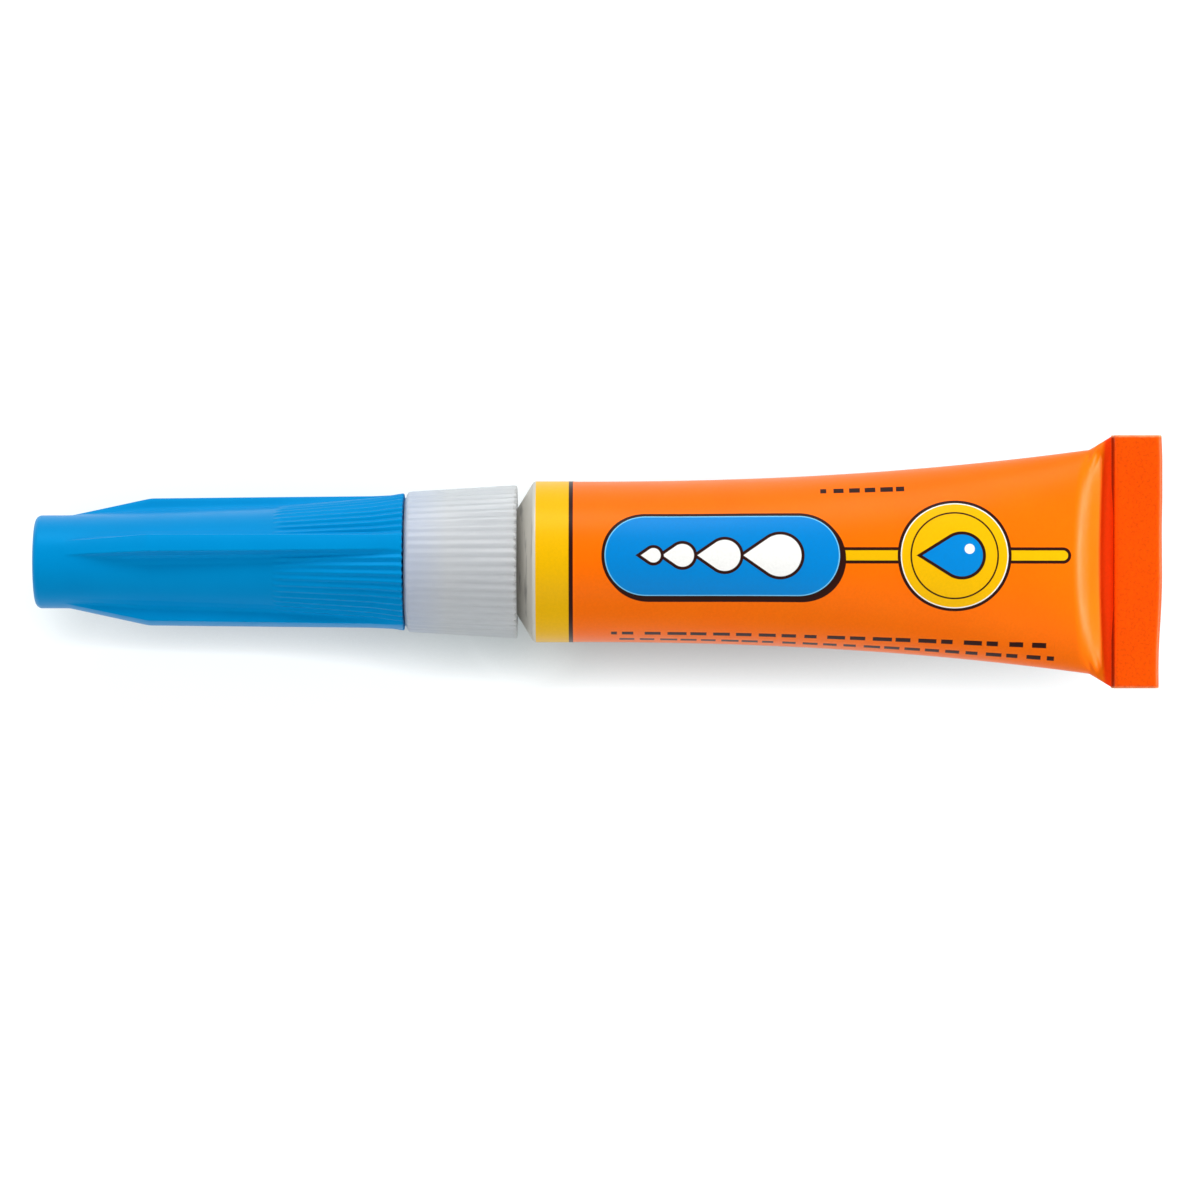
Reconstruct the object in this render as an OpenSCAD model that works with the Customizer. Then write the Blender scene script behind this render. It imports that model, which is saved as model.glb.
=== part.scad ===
// Collapsible metal glue tube with a screw-on nozzle and a finned screw cap.
// Millimetres. +X runs from the cap's closed end to the folded tail and +Z is up.
// The origin is under the middle of the part, on the surface that its belly rests on.

/* [Tube] */
// Outside diameter at the shoulder
tube_d = 13.5; // [11:0.1:16]
// Length of the body, from the shoulder's edge to the tail fold
body_l = 48.55; // [38:0.05:65]
// Wall of the drawn sleeve
sleeve_wall = 0.11; // [0.08:0.01:0.18]
// Wall of the thicker head: shoulder and skirt
head_wall = 0.4; // [0.3:0.05:0.6]
// Length of the straight skirt behind the shoulder
skirt_l = 3.25; // [2:0.05:6]
// Depth of the flat that the soft belly lies on
belly_flat = 0.12; // [0.08:0.01:0.25]
// Length of the conical shoulder along the axis
shoulder_l = 1.98; // [1.4:0.02:3]
// Share of the flattening that spreads along the whole body
spread_share = 0.76; // [0.5:0.02:0.9]
// How late that slow flattening comes
spread_power = 2.2; // [1.4:0.1:3]
// Length of the sharp pinch before the fold
pinch_l = 2; // [1:0.1:4]
// Length of the wedge that closes the sleeve down to the fold
wedge_l = 2.6; // [2:0.1:4]
// Length of the shallow valley between the wedge and the fold
valley_l = 0.5; // [0.3:0.05:0.9]

/* [Neck] */
// Outside diameter of the threaded neck
neck_d = 7; // [6:0.1:8]
// Length of the neck
neck_l = 6; // [5:0.1:7]
// Bore of the neck
neck_bore_d = 4.6; // [3.6:0.1:5.2]
// Thickness of the membrane that seals the neck
membrane_t = 0.1; // [0.06:0.01:0.2]

/* [Tail fold] */
// Width of the folded strip along the axis
fold_l = 4.1; // [3:0.1:6]
// Gap between the folded layers
layer_gap = 0.05; // [0.02:0.01:0.1]
// Thickness of the latex film between the flattened walls
seal_t = 0.1; // [0.06:0.01:0.2]
// Depth of that film in the fold
seal_l = 2.4; // [1.5:0.1:3]
// Bare margin beside the film
seal_margin = 0.6; // [0.3:0.1:1.5]

/* [Nozzle] */
// Length of the ribbed collar
collar_l = 9.25; // [8:0.05:12]
// Diameter of the collar's front end
collar_front_d = 11.74; // [10.5:0.02:12.2]
// Diameter of the collar's back end
collar_back_d = 12.84; // [12.6:0.02:13.2]
// Number of ribs on the collar
collar_ribs = 52; // [40:1:64]
// Height of the ribs at the back end
collar_rib_h = 0.24; // [0.15:0.01:0.3]
// Height of the ribs at the front end
collar_rib_front_h = 0.06; // [0.04:0.01:0.12]
// How far the collar reaches over the shoulder before it is screwed down
collar_overlap = 0.58; // [0.3:0.02:0.7]
// How far the nozzle screws down to pierce the membrane
pierce_travel = 0.75; // [0.5:0.05:0.8]
// Diameter of the piercing spike at its root
spike_d = 3; // [2.6:0.1:3.6]
// Diameter of the cap's thread on the spout
thread_d = 7.9; // [7:0.1:8.4]
// Length of that thread
thread_l = 7.9; // [6:0.1:10]
// Diameter of the tapered spout at its root
spout_d = 5.2; // [4:0.1:6]
// Wall of the spout at its tip
spout_wall = 0.45; // [0.3:0.05:0.7]

/* [Cap] */
// Length of the cap
cap_l = 30.9; // [28:0.1:36]
// Diameter of the plain end
cap_tip_d = 7.8; // [7:0.1:8.6]
// Length of the plain end, up to where the fins start
cap_tip_l = 2.7; // [2:0.1:4.5]
// Rounding of the closed end
cap_round = 0.55; // [0.3:0.05:1]
// Diameter of the core where the grip starts
cap_core_d = 8.96; // [8.7:0.02:9.4]
// Diameter over the flared mouth
cap_mouth_d = 11.54; // [11.2:0.02:12]
// Number of fins
fins = 4; // [3:1:6]
// Width of each fin at its crest
fin_w = 1.15; // [0.8:0.05:2]
// How much each flank of a fin leans out from there to the axis
fin_draft = 0.6; // [0.2:0.1:1]
// Length of the slope where the fins rise
fin_slope_l = 6.85; // [4:0.05:9]
// Diameter over the fins at the top of that slope
fin_d = 10.82; // [10.2:0.02:11.2]
// Diameter over the fins before the flare
fin_waist_d = 11.26; // [10.8:0.02:11.4]
// Turn of the fins about the axis, in degrees
fin_turn = 17; // [0:0.5:45]
// Number of fine grip ribs at the mouth
grip_ribs = 52; // [36:4:64]
// Length of the grip ribs
grip_l = 10.9; // [7:0.1:14]
// Width of each grip rib
grip_w = 0.32; // [0.2:0.02:0.4]
// Height of the grip ribs at the mouth
grip_h = 0.25; // [0.15:0.01:0.35]
// Height of the grip ribs where they start
grip_start_h = 0.06; // [0.04:0.01:0.1]
// Diameter over the grip where its flare steepens
grip_waist_d = 10.66; // [10.2:0.02:11]
// Length of that steeper flare
cap_flare_l = 2.7; // [1.5:0.1:4]
// Thickness of the cap's closed end
crown_t = 2; // [1.6:0.1:3]

/* [Pin] */
// Diameter of the steel pin that keeps the spout clear
pin_d = 0.7; // [0.5:0.05:1]
// Length of the pin inside the spout
pin_reach = 6; // [4:0.1:9]
// Depth of the pin's seat in the cap
pin_seat = 1.2; // [0.8:0.1:1.5]

/* [Glue] */
// Height of the liquid above the belly
glue_level = 6.6; // [5:0.1:10]

/* [Clearances] */
// Gap between the closed cap and the collar
cap_gap = 0.2; // [0.1:0.05:0.5]
// Radial play of the two threads
thread_play = 0.05; // [0.03:0.01:0.1]
// Play left under the nozzle when it is screwed home
seat_play = 0.1; // [0.05:0.01:0.2]
// Gap between the spike and the membrane
spike_gap = 0.15; // [0.1:0.05:0.25]
// Gap between the spout and the cap's cavity at the tip
tip_gap = 0.2; // [0.1:0.05:0.4]
// Radial gap between the pin and the spout's channel
channel_gap = 0.15; // [0.1:0.05:0.25]
// Radial play of the pin's seat and of the membrane
fit_play = 0.02; // [0.01:0.01:0.05]
// Gap between the liquid and the wall around it
glue_gap = 0.1; // [0.05:0.05:0.2]

/* [Hidden] */

$fn = 96;
// Overshoot of a cut past the face that it opens
over = 1;
// How far ribs and fins reach past the faces that trim them, and into the wall that carries them
tooth_margin = 0.08;
// Sides and rings of the sleeve's skin
sides = 40;
rings = 22;

tube_r = tube_d / 2;
neck_r = neck_d / 2;
neck_bore_r = neck_bore_d / 2;
thread_r = thread_d / 2;
pin_r = pin_d / 2;
axis_z = tube_r - belly_flat;

// Stations along the axis, from the cap to the tail
total_l = cap_l + cap_gap + collar_l - collar_overlap + shoulder_l + body_l + fold_l;
cap_end_x = -total_l / 2;
cap_mouth_x = cap_end_x + cap_l;
collar_front_x = cap_mouth_x + cap_gap;
collar_back_x = collar_front_x + collar_l;
neck_root_x = collar_back_x - collar_overlap;
neck_mouth_x = neck_root_x - neck_l;
shoulder_x = neck_root_x + shoulder_l;
skirt_x = shoulder_x + skirt_l;
fold_x = shoulder_x + body_l;
tail_x = fold_x + fold_l;

// Sleeve: its skin starts inside the skirt's wall and keeps its girth up to the fold
sleeve_inset = 0.03;
sleeve_lap = 1;
sleeve_r = tube_r - sleeve_inset;
skirt_bore_r = tube_r - head_wall;
// A flattened sleeve is wider than the round one by this share of its radius
flat_spread = sqrt(1 / 3);
flat_w = 2 * sleeve_r * (1 + flat_spread);
layer_t = 2 * sleeve_wall + seal_t;
pinch_half_t = layer_t / 2 - sleeve_inset;
// Thickness at the top of the valley, as a share of the sleeve's
valley_share = 0.08;
shoulder_rise = (tube_r - neck_r) / shoulder_l;
// The head's walls are square to the cone, so they take more room along the axis
shoulder_step = head_wall * sqrt(1 + 1 / pow(shoulder_rise, 2));
edge_chamfer = 0.15;
// How far the room of the latex film opens into the sleeve
seal_lead = 0.5;

// Nozzle: the socket, the spike and the channel through the spout
socket_r = neck_r + thread_play;
socket_x = neck_mouth_x - pierce_travel - seat_play;
spike_x = neck_mouth_x - spike_gap;
channel_r = pin_r + channel_gap;
spike_tip_r = channel_r + spout_wall / 2;
mouth_lift = pierce_travel + seat_play;
mouth_r = neck_r + (collar_overlap + mouth_lift) * shoulder_rise;
mouth_x = collar_back_x - (mouth_r - socket_r) / shoulder_rise;
thread_x = collar_front_x - thread_l;
spout_tip_r = channel_r + spout_wall;
collar_chamfer = 0.25;

// Cap: the cavity follows the spout, and the pin sits in the closed end
cavity_x = cap_end_x + crown_t;
spout_x = cavity_x + tip_gap;
bore_r = thread_r + thread_play;
cavity_tip_r = spout_tip_r + tip_gap;
fin_x = cap_end_x + cap_tip_l;
grip_x = cap_mouth_x - grip_l;
flare_x = cap_mouth_x - cap_flare_l;
cap_tip_r = cap_tip_d / 2;
cap_core_r = cap_core_d / 2;
cap_mouth_r = cap_mouth_d / 2;
grip_waist_r = grip_waist_d / 2;

// Distance to the fold, for u from 0 at the skirt to 1 at the fold
function to_fold(u) = (1 - u) * (fold_x - skirt_x);

// Half width of the sleeve at u, before the pinch
function slow_width(u) = sleeve_r * (1 + flat_spread * spread_share * pow(u, spread_power));

// Half width with the pinch
function half_width(u) = slow_width(u)
    + sleeve_r * flat_spread * (1 - spread_share) * max(0, 1 - to_fold(u) / pinch_l);

// Half thickness that keeps the sleeve's girth at half width a
function half_depth(a) = (3 * sleeve_r - 2 * a
    + sqrt(3 * pow(sleeve_r, 2) + 6 * sleeve_r * a - 5 * pow(a, 2))) / 3;

// Share of that thickness that the wedge leaves
function wedge(u) = lookup(to_fold(u), [[0, 0], [valley_l, valley_share], [wedge_l, 1]]);

// Rings crowd together towards the fold, where the sleeve bends most
function ring_u(i) = 1 - pow(1 - i / rings, 2);

// One elliptic ring of half width a and half thickness b, flat where it would go below the floor
function ring(x, a, b, floor_z) = [for (k = [0 : sides - 1])
    [x, a * sin(360 * k / sides), max(axis_z + b * cos(360 * k / sides), floor_z)]];

// The sleeve's ring i, drawn in by a wall
function sleeve_ring(i, wall) = let (
        u = ring_u(i),
        b = pinch_half_t + (half_depth(slow_width(u)) - pinch_half_t) * wedge(u))
    ring(skirt_x + u * (fold_x - skirt_x), half_width(u) - wall, b - wall, wall > 0 ? wall : -over);

// A round ring of radius r, with no flat
function round_ring(x, r) = ring(x, r, r, -over);

// Points of a star with n teeth, for ribs that run along the axis
function star(n, r_root, r_crest) = [for (k = [0 : 2 * n - 1])
    (k % 2 == 0 ? r_crest : r_root) * [cos(180 * k / n), sin(180 * k / n)]];

// Closed skin over a chain of rings
module loft(chain) {
    last = len(chain) - 1;
    polyhedron(
        points = [for (r = chain) each r],
        faces = concat(
            [[for (k = [0 : sides - 1]) k]],
            [for (i = [0 : last - 1]) for (k = [0 : sides - 1]) let (n = (k + 1) % sides)
                each [[i * sides + k, (i + 1) * sides + k, (i + 1) * sides + n],
                      [i * sides + k, (i + 1) * sides + n, i * sides + n]]],
            [[for (k = [sides - 1 : -1 : 0]) last * sides + k]]));
}

// Revolve of a profile of [x, r] points about the tube's axis
module turned(profile)
    translate([0, 0, axis_z]) rotate([0, 90, 0])
        rotate_extrude() polygon([for (p = profile) [p[1], p[0]]]);

// Toothed bar along the tube's axis from x0 to x1
module toothed(n, r_root, r_crest, x0, x1)
    translate([x0, 0, axis_z]) rotate([0, 90, 0])
        linear_extrude(x1 - x0) polygon(star(n, r_root, r_crest));

// Copies about the tube's axis, turned from the top towards +Y
module spin(n, turn) for (k = [0 : n - 1])
    translate([0, 0, axis_z]) rotate([-turn - k * 360 / n, 0, 0]) children();

// Neck, shoulder and skirt, the thick end of the drawn tube
module tube_head() turned([
    [neck_mouth_x, neck_bore_r],
    [neck_mouth_x, neck_r - edge_chamfer],
    [neck_mouth_x + edge_chamfer, neck_r],
    [neck_root_x, neck_r],
    [shoulder_x - edge_chamfer / shoulder_rise, tube_r - edge_chamfer],
    [shoulder_x + edge_chamfer, tube_r],
    [skirt_x, tube_r],
    [skirt_x, skirt_bore_r],
    [shoulder_x + shoulder_step - head_wall / shoulder_rise, skirt_bore_r],
    [neck_root_x + shoulder_step - (neck_r - neck_bore_r) / shoulder_rise, neck_bore_r]]);

// Thin sleeve, round at the skirt and pinched flat at the fold; its lining clears the belly's flat
module tube_sleeve() {
    skin = [for (i = [rings : -1 : 0]) sleeve_ring(i, 0)];
    lining = [for (i = [0 : rings - 1]) sleeve_ring(i, sleeve_wall)];
    front_x = skirt_x - sleeve_lap;
    lining_r = sleeve_r - sleeve_wall;
    loft(concat(skin, [round_ring(front_x, sleeve_r), round_ring(front_x, lining_r)], lining));
}

// Half ring that turns one folded layer into the next
module bend(x, z, r_in, side) translate([x, z]) difference() {
    circle(r_in + layer_t);
    circle(r_in);
    translate([side > 0 ? -over - r_in - layer_t : 0, -over - r_in - layer_t])
        square(2 * (over + r_in + layer_t) * [0.5, 1]);
}

// Tail rolled over twice: a base layer, the raw end inside and a cover layer on top
module tail_fold() {
    step = layer_t + layer_gap;
    right_x = tail_x - step - layer_t / 2;
    left_x = fold_x + layer_t + layer_gap / 2;
    base_lap = 0.1;
    translate([0, 0, axis_z]) rotate([90, 0, 0]) linear_extrude(flat_w, center = true) {
        translate([fold_x - base_lap, -layer_t / 2]) square([right_x - fold_x + base_lap, layer_t]);
        translate([left_x, step - layer_t / 2]) square([right_x - left_x, layer_t]);
        translate([left_x, 2 * step - layer_t / 2]) square([right_x - left_x, layer_t]);
        bend(right_x, step, layer_gap + layer_t / 2, 1);
        bend(left_x, 1.5 * step, layer_gap / 2, -1);
    }
}

// Room of the latex film: x0 is where it starts inside the sleeve
module seal_room(x0)
    translate([x0, -flat_w / 2 + seal_margin, axis_z - seal_t / 2])
        cube([fold_x + seal_l - x0, flat_w - 2 * seal_margin, seal_t]);

module tube() color([0.96, 0.42, 0.1]) difference() {
    union() {
        tube_head();
        tube_sleeve();
        tail_fold();
    }
    seal_room(fold_x - seal_lead);
    translate([shoulder_x - over, -tube_r, -over]) cube([body_l, 2 * tube_r, over]);
}

module neck_membrane() color([0.8, 0.8, 0.82]) turned([
    [neck_mouth_x, 0],
    [neck_mouth_x, neck_bore_r - fit_play],
    [neck_mouth_x + membrane_t, neck_bore_r - fit_play],
    [neck_mouth_x + membrane_t, 0]]);

module tail_seal() color([0.85, 0.8, 0.65])
    seal_room(skirt_x + ring_u(rings - 1) * (fold_x - skirt_x));

// Liquid up to its level, inside the skirt and the sleeve
module adhesive() color([0.9, 0.92, 0.95, 0.6]) {
    front_r = skirt_bore_r - glue_gap;
    front_x = shoulder_x + shoulder_step;
    inset = sleeve_wall + glue_gap;
    intersection() {
        translate([front_x, -flat_w / 2, 0]) cube([tail_x - front_x, flat_w, glue_level]);
        loft([for (i = [rings - 2 : -1 : 1]) sleeve_ring(i, inset),
              round_ring(skirt_x, front_r),
              round_ring(front_x, front_r)]);
    }
}

// Ribbed collar with its spout, before the hollow is cut
module nozzle_blank() {
    front_r = collar_front_d / 2;
    back_r = collar_back_d / 2;
    root_front_r = front_r - collar_rib_front_h;
    root_back_r = back_r - collar_rib_h;
    turned([
        [spout_x, 0],
        [spout_x, spout_tip_r],
        [thread_x, spout_d / 2],
        [thread_x, thread_r - collar_chamfer],
        [thread_x + collar_chamfer, thread_r],
        [collar_front_x, thread_r],
        [collar_front_x, root_front_r - collar_chamfer],
        [collar_front_x + collar_chamfer, root_front_r],
        [collar_back_x, root_back_r],
        [collar_back_x, 0]]);
    intersection() {
        toothed(collar_ribs, root_front_r - tooth_margin, back_r + tooth_margin,
            collar_front_x, collar_back_x);
        turned([
            [collar_front_x, 0],
            [collar_front_x, front_r - collar_chamfer],
            [collar_front_x + collar_chamfer, front_r],
            [collar_back_x - collar_chamfer, back_r],
            [collar_back_x, back_r - collar_chamfer],
            [collar_back_x, 0]]);
    }
}

module nozzle() color([0.9, 0.91, 0.92]) difference() {
    nozzle_blank();
    turned([
        [spout_x - over, 0],
        [spout_x - over, channel_r],
        [spike_x, channel_r],
        [spike_x, spike_tip_r],
        [socket_x, spike_d / 2],
        [socket_x, socket_r],
        [mouth_x, socket_r],
        [collar_back_x + over, mouth_r + over * shoulder_rise],
        [collar_back_x + over, 0]]);
}

// Round core of the cap, which flares out under the grip ribs
module cap_core() turned(concat(
    [[cap_end_x, 0]],
    [for (a = [90 : -15 : 0])
        [cap_end_x + cap_round * (1 - cos(90 - a)), cap_tip_r - cap_round * (1 - cos(a))]],
    [[fin_x, cap_tip_r],
     [grip_x, cap_core_r],
     [flare_x, grip_waist_r - grip_h],
     [cap_mouth_x, cap_mouth_r - grip_h],
     [cap_mouth_x, 0]]));

// Fins from the plain end to the mouth: tapered bars, trimmed to the outline over their crests
module cap_fins() intersection() {
    turned([
        [fin_x, 0],
        [fin_x, cap_tip_r - tooth_margin],
        [fin_x + fin_slope_l, fin_d / 2],
        [flare_x, fin_waist_d / 2],
        [cap_mouth_x, cap_mouth_r],
        [cap_mouth_x, 0]]);
    spin(fins, fin_turn) translate([fin_x, 0, 0]) rotate([90, 0, 90]) linear_extrude(cap_l)
        polygon([
            [-fin_w / 2 - fin_draft, 0],
            [fin_w / 2 + fin_draft, 0],
            [fin_w / 2, cap_mouth_r + tooth_margin],
            [-fin_w / 2, cap_mouth_r + tooth_margin]]);
}

// Fine ribs that come out of the core and rise with the flare to the mouth
module cap_grip() spin(grip_ribs, fin_turn)
    rotate([90, 0, 0]) linear_extrude(grip_w, center = true) polygon([
        [grip_x, cap_core_r - grip_h],
        [grip_x + grip_h, cap_core_r + grip_start_h],
        [flare_x, grip_waist_r],
        [cap_mouth_x, cap_mouth_r - tooth_margin],
        [cap_mouth_x, cap_core_r - grip_h]]);

module cap() color([0.02, 0.5, 0.8]) difference() {
    union() {
        cap_core();
        cap_fins();
        cap_grip();
    }
    turned([
        [cavity_x - pin_seat, 0],
        [cavity_x - pin_seat, pin_r + fit_play],
        [cavity_x, pin_r + fit_play],
        [cavity_x, cavity_tip_r],
        [thread_x - tip_gap, bore_r],
        [cap_mouth_x + over, bore_r],
        [cap_mouth_x + over, 0]]);
}

module cap_pin() color([0.7, 0.71, 0.73]) turned([
    [cavity_x - pin_seat + fit_play, 0],
    [cavity_x - pin_seat + fit_play, pin_r],
    [cavity_x + pin_reach - pin_r, pin_r],
    [cavity_x + pin_reach, pin_r / 2],
    [cavity_x + pin_reach, 0]]);

tube();
neck_membrane();
tail_seal();
adhesive();
nozzle();
cap();
cap_pin();
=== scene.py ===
"""Looks of a glue tube: an enamelled metal sleeve with a folded tail, a ribbed nozzle and a finned cap.

Sizes are in millimetres and turn into metres where a mesh is made. +X runs from the cap to the tail,
+Z is up, and an angle about the axis counts from +Z towards +Y.
"""

import bpy
import numpy as np
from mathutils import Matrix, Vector


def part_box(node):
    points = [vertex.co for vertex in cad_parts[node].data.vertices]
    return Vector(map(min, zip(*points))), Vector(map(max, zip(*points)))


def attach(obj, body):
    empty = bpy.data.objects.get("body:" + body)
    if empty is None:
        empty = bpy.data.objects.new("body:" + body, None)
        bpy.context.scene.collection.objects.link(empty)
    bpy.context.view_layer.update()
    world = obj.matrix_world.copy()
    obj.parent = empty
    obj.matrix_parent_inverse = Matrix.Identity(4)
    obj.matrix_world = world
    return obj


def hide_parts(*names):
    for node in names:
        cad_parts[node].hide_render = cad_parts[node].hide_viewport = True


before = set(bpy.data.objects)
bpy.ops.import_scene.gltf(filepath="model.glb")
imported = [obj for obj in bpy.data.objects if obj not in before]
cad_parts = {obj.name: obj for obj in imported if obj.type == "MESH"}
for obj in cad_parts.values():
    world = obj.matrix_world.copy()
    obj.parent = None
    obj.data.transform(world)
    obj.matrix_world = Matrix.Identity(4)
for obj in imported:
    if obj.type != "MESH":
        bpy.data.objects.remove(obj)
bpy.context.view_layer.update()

MM = 0.001
TAU = 2 * np.pi


# Sizes from the frame

def box_mm(node):
    """Lowest and highest corner of a CAD node."""
    low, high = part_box(node)
    return np.array(low) / MM, np.array(high) / MM


tube_low, tube_high = box_mm("tube")
nozzle_low, nozzle_high = box_mm("nozzle")
cap_low, cap_high = box_mm("cap")

AXIS_Z = (nozzle_low[2] + nozzle_high[2]) / 2
TUBE_R = tube_high[2] - AXIS_Z
FLAT_W = tube_high[1] - tube_low[1]
NECK_MOUTH_X = tube_low[0]
TAIL_X = tube_high[0]
SPOUT_X = nozzle_low[0]
COLLAR_BACK_X = nozzle_high[0]
CAP_END_X = cap_low[0]
CAP_MOUTH_X = cap_high[0]

# Tube
NECK_L = 6.0
NECK_R = 3.5
NECK_BORE_R = 2.3
SHOULDER_L = 1.98
SKIRT_L = 3.25
FOLD_L = 4.1
HEAD_WALL = 0.4
SLEEVE_WALL = 0.11
LAYER_T = 0.32
LAYER_STEP = 0.37
BARE_EDGE_L = 0.17
NECK_ROOT_X = NECK_MOUTH_X + NECK_L
SHOULDER_X = NECK_ROOT_X + SHOULDER_L
SKIRT_X = SHOULDER_X + SKIRT_L
FOLD_X = TAIL_X - FOLD_L
SHOULDER_RISE = (TUBE_R - NECK_R) / SHOULDER_L

# A flattened sleeve is wider than the round one by this share of its radius
FLAT_SPREAD = np.sqrt(1 / 3)
SLEEVE_R = FLAT_W / 2 / (1 + FLAT_SPREAD)
SPREAD_SHARE = 0.76
SPREAD_POWER = 2.2
SKIRT_STEP_L = 0.25
LEAST_HALF_T = 0.02
PINCH_L = 2.0
WEDGE_L = 2.6
VALLEY_L = 0.5
VALLEY_SHARE = 0.08

# Nozzle
CAP_GAP = 0.2
COLLAR_FRONT_X = CAP_MOUTH_X + CAP_GAP
COLLAR_FRONT_R = 5.87
COLLAR_BACK_R = (nozzle_high[2] - nozzle_low[2]) / 2
COLLAR_RIBS = 52
COLLAR_RIB_H = 0.17
COLLAR_RIB_FRONT_H = 0.06
SOCKET_R = 3.55
SOCKET_X = NECK_MOUTH_X - 0.85
SPIKE_X = NECK_MOUTH_X - 0.15
SPIKE_R = 1.5
SPIKE_TIP_R = 0.725
MOUTH_R = 5.85
MOUTH_X = COLLAR_BACK_X - (MOUTH_R - SOCKET_R) / SHOULDER_RISE
THREAD_L = 7.9
THREAD_X = COLLAR_FRONT_X - THREAD_L
THREAD_R = 3.95
THREAD_LEAD = 2.0
THREAD_DEPTH = 0.42
SPOUT_ROOT_R = 2.6
SPOUT_TIP_R = 0.95
CHANNEL_R = 0.5

# Cap
CAP_TIP_R = 3.9
CAP_TIP_L = 2.7
CAP_ROUND = 0.55
CAP_CORE_R = 4.48
CAP_MOUTH_R = 5.77
CAP_FLARE_L = 2.7
FINS = 4
FIN_W = 1.15
FIN_FOOT = 0.9
FIN_SLOPE_L = 6.85
FIN_R = 5.41
FIN_WAIST_R = 5.63
FIN_TURN = np.radians(17)
GRIP_RIBS = 52
GRIP_L = 10.9
GRIP_H = 0.17
GRIP_START_H = 0.11
GRIP_FADE_L = 0.6
GRIP_WAIST_R = 5.33
FIN_X = CAP_END_X + CAP_TIP_L
GRIP_X = CAP_MOUTH_X - GRIP_L
FLARE_X = CAP_MOUTH_X - CAP_FLARE_L
CROWN_T = 2.0
PIN_SEAT_R = 0.37
PIN_SEAT_L = 1.2
BORE_R = 4.0
CAVITY_TIP_R = 1.15


# Mesh helpers

def around(sides, turn=0.0):
    """Angles of the points of one ring."""
    return turn + TAU * np.arange(sides) / sides


def ring(x, radius, angle):
    """Points round the tube's axis. Each of x and radius is a number or one value for each angle."""
    x, radius, angle = np.broadcast_arrays(x, radius, angle)
    return np.stack([x, radius * np.sin(angle), AXIS_Z + radius * np.cos(angle)], axis=-1)


def turned(profile, angle):
    """Chain of rings over a profile of (x, radius) pairs."""
    return [ring(x, radius, angle) for x, radius in profile]


def ease(t):
    """Smooth step from 0 to 1."""
    t = np.clip(t, 0, 1)
    return t * t * (3 - 2 * t)


def eased_line(x, xs, ys, width):
    """Broken line through the points (xs, ys) with its corners rounded over a width."""
    offsets = np.linspace(-width / 2, width / 2, 9)
    return np.mean([np.interp(x + offset, xs, ys) for offset in offsets], axis=0)


def ribs(angle, count):
    """Rounded triangular wave from 0 in the grooves to 1 on the crests."""
    phase = np.abs((angle * count / TAU) % 1 - 0.5) * 2
    return ease(phase) * 0.5 + phase * 0.5


def make_object(name, mesh, material, sharp_degrees):
    mesh.shade_smooth()
    mesh.set_sharp_from_angle(angle=np.radians(sharp_degrees))
    mesh.materials.append(material)
    obj = bpy.data.objects.new(name, mesh)
    bpy.context.scene.collection.objects.link(obj)
    return obj


def skin(name, chain, material, loop=False, print_uv=None, sharp_degrees=38):
    """Closed mesh over a chain of rings: joined end to start, or capped at both ends.

    The chain runs towards +X along the outside and back along any hollow. print_uv holds the label's
    coordinates of each ring, with one more column than the ring has points.
    """
    chain = np.asarray(chain) * MM
    count, sides, _ = chain.shape
    index = np.arange(count * sides).reshape(count, sides)
    near = index if loop else index[:-1]
    far = np.roll(index, -1, axis=0) if loop else index[1:]
    quads = np.stack([near, far, np.roll(far, -1, 1), np.roll(near, -1, 1)], axis=-1)
    faces = quads.reshape(-1, 4).tolist()
    if not loop:
        faces += [index[0].tolist(), index[-1][::-1].tolist()]
    mesh = bpy.data.meshes.new(name)
    mesh.from_pydata(chain.reshape(-1, 3).tolist(), [], faces)
    if print_uv is not None:
        corners = [print_uv[:-1, :-1], print_uv[1:, :-1], print_uv[1:, 1:], print_uv[:-1, 1:]]
        uv = np.zeros((len(mesh.loops), 2))
        flat = np.stack(corners, axis=2).reshape(-1, 2)
        uv[:len(flat)] = flat
        layer = mesh.uv_layers.new(name="print")
        layer.uv.foreach_set("vector", uv.ravel())
    return make_object(name, mesh, material, sharp_degrees)


# Material helpers

def srgb(red, green, blue):
    """Linear colour of a display colour given as 0 to 255."""
    c = np.array([red, green, blue]) / 255
    linear = np.where(c <= 0.04045, c / 12.92, ((c + 0.055) / 1.055) ** 2.4)
    return (*linear.tolist(), 1.0)


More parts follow.
